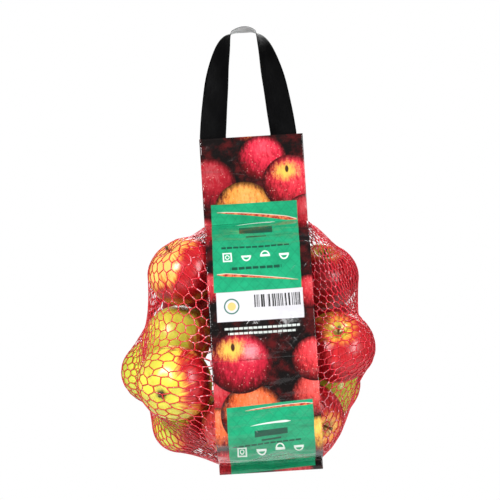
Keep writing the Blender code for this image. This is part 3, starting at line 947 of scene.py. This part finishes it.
def add_marks(s, ink):
    """Line drawings, a strip of bars and a round mark: none of them spells or stands for anything."""
    upper, lower = 205.5, 376.0  # the two rows of drawings
    for x, kind in ((-28, "box"), (-11, "bowl"), (6, "dome"), (23, "bowl")):
        for place in ((x, upper), (x + 3, lower + PANEL_LEAN * x)):
            ink = s.mix(s.mul(drawing(s, *place, kind), 0.9), ink, (0.78, 0.86, 0.8))
    bars = s.nodes.new("ShaderNodeTexNoise")
    bars.noise_dimensions = "1D"
    s.put(bars.inputs["W"], s.mul(s.across, 0.62))
    s.put(bars.inputs["Scale"], 1.0)
    s.put(bars.inputs["Detail"], 2.0)
    black = s.step(bars.outputs[0], 0.49, 0.51)
    black = s.mul(black, box_mask(s, -6, 35, 239.5, 251, 0.15))
    ink = s.mix(black, ink, (0.015, 0.015, 0.015))
    far = s.vector("DISTANCE", s.at, (-26.5, 249, 0))
    ring = s.mul(s.step(far, 5.6, 6.0), s.step(far, 7.2, 6.8))
    ink = s.mix(ring, ink, (0.05, 0.16, 0.12))
    return s.mix(s.step(far, 4.0, 3.6), ink, (0.62, 0.5, 0.18))


def dashes(s, left, right, top, bottom, pitch, skew=0.0):
    """A row of plain dashes, where a real label has lettering."""
    row = box_mask(s, left, right, top, bottom, 0.3, skew=skew)
    place = s.size(s.sub(s.math("FRACT", s.mul(s.across, 1 / pitch)), 0.5))
    return s.mul(row, s.step(place, 0.44, 0.4))


def add_dashes(s, ink):
    """Bars, dashes and a stroke on each green panel, and two pale rows below the white one."""
    dark, pale = (0.006, 0.045, 0.03), (0.76, 0.82, 0.78)
    rows = []
    for bar, caption, foot, left, skew in (
        (180.5, 197.0, 214.5, -16.0, 0.0),
        (359.5, 370.0, 389.5, -13.5, PANEL_LEAN),
    ):
        rows += [
            box_mask(s, left, left + 30, bar - 0.8, bar + 4.4, skew=skew),
            box_mask(s, left + 6, left + 24, bar + 7, bar + 8.6, skew=skew),
            dashes(s, -33, 29, caption, caption + 1.4, 5.7, skew),
            dashes(s, left - 10, left + 36, foot, foot + 2.4, 6.3, skew),
        ]
        stroke = swoosh(s, (left - 3, bar - 4), (left + 33, bar - 7), 0.25, 1.0)
        ink = s.mix(stroke, ink, pale)
    for row in rows:
        ink = s.mix(s.mul(row, 0.9), ink, dark)
    for top, left, right in ((267.6, -34, 33), (272.0, -31, 29)):
        ink = s.mix(s.mul(dashes(s, left, right, top, top + 1.9, 4.3), 0.75), ink, pale)
    return ink


def build_films(net_grid):
    """Each film as two sheets, which meet at mid-belly."""
    faces = grid_faces(*net_grid.shape[:2], around=True).tolist()
    tree = BVHTree.FromPolygons(net_grid.reshape(-1, 3).tolist(), faces)
    for label, side, seed in (("front", -1, 21), ("back", 1, 41)):
        skin = film_print(f"film_print_{label}", label == "front")
        flat = film_grid(tree, side)
        places = print_places(flat)
        grid = wrinkle(flat, side, seed)
        for part, rows in (("upper", slice(0, SPLIT_ROW + 1)), ("lower", slice(SPLIT_ROW, None))):
            own = grid[rows]
            quads = grid_faces(*own.shape[:2]).tolist()
            piece = new_mesh(f"{label}_film_{part}", own.reshape(-1, 3), quads, [skin])
            put_vectors(piece, "print_at", places[rows])
            thicken(piece, FILM_THICK, 1)
            if part == "upper":
                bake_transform(piece)
                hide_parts(f"{label}_film_header", f"{label}_film_band")
            else:
                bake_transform(piece)
                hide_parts(f"{label}_film_fin", f"{label}_film_band")


# --- strap ---

STRAP_HALF = 12 * MM
STRAP_THICK = 0.5 * MM
STRAP_COLUMNS = 11
STRAP_FOOT = HEADER_TOP + 2 * MM
TAB_ROWS = np.linspace(30.0, 0.5, 14) * MM  # below the header's top edge
LEFT_LEG, RIGHT_LEG = 34.6 * MM, 29.8 * MM  # from the crown's middle to each leg's middle
LEFT_LEVEL, RIGHT_LEVEL = 5 * MM, 3 * MM  # how far the crown runs level on the hook
CROWN_TILT = 3.8 * MM  # the strap's front edge rides this much higher over the hook


def strap_line(share):
    """(centre, half width) of the tape. share is -1 at the left foot, 0 at the hook, 1 at the right."""
    sign = -1 if share < 0 else 1
    reach, level = (LEFT_LEG, LEFT_LEVEL) if share < 0 else (RIGHT_LEG, RIGHT_LEVEL)
    spread, level_share = abs(share), level / reach
    crown = 0.4 * MM
    fall = max(0.0, (spread - level_share) / (1 - level_share))
    centre = Vector((sign * reach * spread, 0, crown + (STRAP_FOOT - crown) * fall**3))
    slope = (STRAP_FOOT - crown) * 3 * fall**2 / (reach * (1 - level_share))
    tangent = Vector((1, 0, sign * slope)).normalized()
    turned = max(0.0, (spread - 0.34) / 0.66)
    twist = math.pi / 2 * (1 - turned) ** 0.92
    inwards = Vector((tangent.z, 0, -tangent.x)).lerp(Vector((-sign, 0, 0)), turned**4).normalized()
    half = (inwards * math.cos(twist) - Vector((0, 1, 0)) * math.sin(twist)) * STRAP_HALF
    lifted = Vector((0, 0, CROWN_TILT / 2)) * math.exp(-((reach * spread / (10.5 * MM)) ** 2))
    return centre + lifted, half + lifted


def tape(name, colour, dullness, gloss):
    """Ribbed film tape, scuffed, and paler at its edges."""
    s = Shader(name)
    at = s.stored("tape_at")
    across, _, _ = s.split(at)
    rib = s.math("SINE", s.mul(across, 2 * math.pi * 1.1))
    scuff = s.noise(s.vector("MULTIPLY", at, (0.5, 0.07, 1.0)), 1.0, 4.0, 0.6)
    cloudy = s.noise(s.vector("MULTIPLY", at, (0.08, 0.05, 1.0)), 1.0, 3.0, 0.5)
    skin = s.mix(s.step(cloudy, 0.35, 0.7), colour, lighter(colour, 1.2, 0.001))
    edge = s.step(s.size(across), 11.2, 11.9)
    skin = s.mix(s.mul(edge, 0.4), skin, lighter(colour, 1.4, 0.008))
    skin = s.mix(s.mul(s.step(scuff, 0.62, 0.8), 0.15), skin, lighter(colour, 1.0, 0.015))
    height = s.add(s.mul(rib, 0.15), s.mul(scuff, 0.9))
    return s.finish(
        Base_Color=skin,
        Roughness=s.step(scuff, 0.3, 0.8, dullness, dullness + 0.12),
        Specular_IOR_Level=gloss,
        Normal=s.bump(height, 0.0006, 0.5),
    )


def build_strap():
    """One twisted tape from tab to tab, black outside and grey inside."""
    left = np.cos(np.linspace(math.pi, math.pi / 2, 50))[:-1]
    shares = [*left, 0.0, *-left[::-1]]
    tabs = [
        [(Vector((x, 0, HEADER_TOP - d)), Vector((half, 0, 0))) for d in TAB_ROWS]
        for x, half in ((-LEFT_LEG, STRAP_HALF), (RIGHT_LEG, -STRAP_HALF))
    ]
    lines = tabs[0] + [strap_line(float(s)) for s in shares] + tabs[1][::-1]
    run = 0.0
    points, places = [], []
    for i, (centre, half) in enumerate(lines):
        if i:
            run += (centre - lines[i - 1][0]).length
        ahead = lines[min(i + 1, len(lines) - 1)][0] - lines[max(i - 1, 0)][0]
        up = ahead.cross(half).normalized()
        above = smooth(HEADER_TOP, STRAP_FOOT + 18 * MM, centre.z)
        for j in range(STRAP_COLUMNS):
            a = 2 * j / (STRAP_COLUMNS - 1) - 1
            cup = 0.55 * MM * (1 - a * a) * above
            flutter = 0.25 * MM * math.sin(run * 160 + 2.2 * a) * above
            points.append(centre + half * a + up * (cup + flutter))
            places.append((a * STRAP_HALF / MM, run / MM, 0))
    black = tape("strap_black", (0.0012, 0.0012, 0.0014), 0.42, 0.03)
    grey = tape("strap_grey", (0.6, 0.6, 0.61), 0.45, 0.5)
    quads = grid_faces(len(lines), STRAP_COLUMNS).tolist()
    strap = new_mesh("carrying_strap", points, quads, [grey, black])
    put_vectors(strap, "tape_at", places)
    thicken(strap, STRAP_THICK, 0, other_side=1)
    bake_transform(strap)
    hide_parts("handle_strap", "strap_tab_left", "strap_tab_right")


# --- stage ---


def build_stage():
    """A round pale floor, well below the hanging bag."""
    floor_z = FIN_BOTTOM - 78 * MM
    sides, radii = 72, (0.1, 0.2, 0.3, 0.4, 0.5)
    points = [(0, 0, floor_z)]
    for radius in radii:
        points += [(radius * math.cos(t), radius * math.sin(t), floor_z) for t in even_turn(sides)]
    faces = [(0, 1 + i, 1 + (i + 1) % sides) for i in range(sides)]
    faces += (grid_faces(len(radii), sides, around=True) + 1).tolist()
    s = Shader("studio_floor")
    at = s.fill("TexCoord")["Object"]
    tone = s.noise(at, 6.0, 3.0)
    s.finish(Base_Color=s.mix(tone, (0.86, 0.86, 0.86), (0.9, 0.9, 0.9)), Roughness=0.8)
    floor = new_mesh("floor", points, faces, [s.material])


def add_light(name, place, target, size, power):
    lamp = bpy.data.lights.new(name, "AREA")
    lamp.shape = "RECTANGLE"
    lamp.size, lamp.size_y = size
    lamp.energy = power
    obj = add_object(name, lamp)
    obj.location = place
    obj.rotation_euler = (Vector(target) - Vector(place)).to_track_quat("-Z", "Y").to_euler()


def build_lights():
    """Three area lights, and a world that is white behind the bag but lights it less."""
    world_light, backdrop = 0.27, 1.0
    world = bpy.data.worlds.new("studio")
    bpy.context.scene.world = world
    world.use_nodes = True
    nodes, links = world.node_tree.nodes, world.node_tree.links
    shade = nodes["Background"]
    shade.inputs["Color"].default_value = (1, 1, 1, 1)
    path = nodes.new("ShaderNodeLightPath")
    level = nodes.new("ShaderNodeMapRange")
    links.new(path.outputs["Is Camera Ray"], level.inputs[0])
    level.inputs["To Min"].default_value = world_light
    level.inputs["To Max"].default_value = backdrop
    links.new(level.outputs[0], shade.inputs["Strength"])
    middle = (0, 0, -0.24)
    add_light("key", (-0.8, -1.3, 0.6), middle, (0.45, 0.6), 33)
    add_light("fill", (1.15, -1.0, 0.05), middle, (0.35, 0.9), 14)
    add_light("rim", (0.3, 1.3, 0.5), middle, (1.0, 0.6), 12)
    bpy.context.scene.view_settings.view_transform = "Standard"


def build_camera():
    """Level with the bag's middle, far off, and rolled as the photograph is."""
    roll = math.radians(3.5)
    aim = Vector((-7.1 * MM, 0, -199 * MM))
    far, field, sensor = 3.4, 0.4565, 36  # field is the width seen at the bag, in metres
    data = bpy.data.cameras.new("camera")
    data.sensor_width = sensor
    data.lens = sensor * far / field
    data.clip_start, data.clip_end = 0.1, 50
    camera = add_object("camera", data)
    camera.matrix_world = (
        Matrix.Translation(aim + Vector((0, -far, 0)))
        @ Matrix.Rotation(math.radians(90), 4, "X")
        @ Matrix.Rotation(-roll, 4, "Z")
    )
    bpy.context.scene.camera = camera


build_camera()
build_stage()
build_lights()
build_strap()
apple_skins = build_apples()
tight = net_surface(apple_skins)
build_net(tight, apple_skins)
build_films(tight)
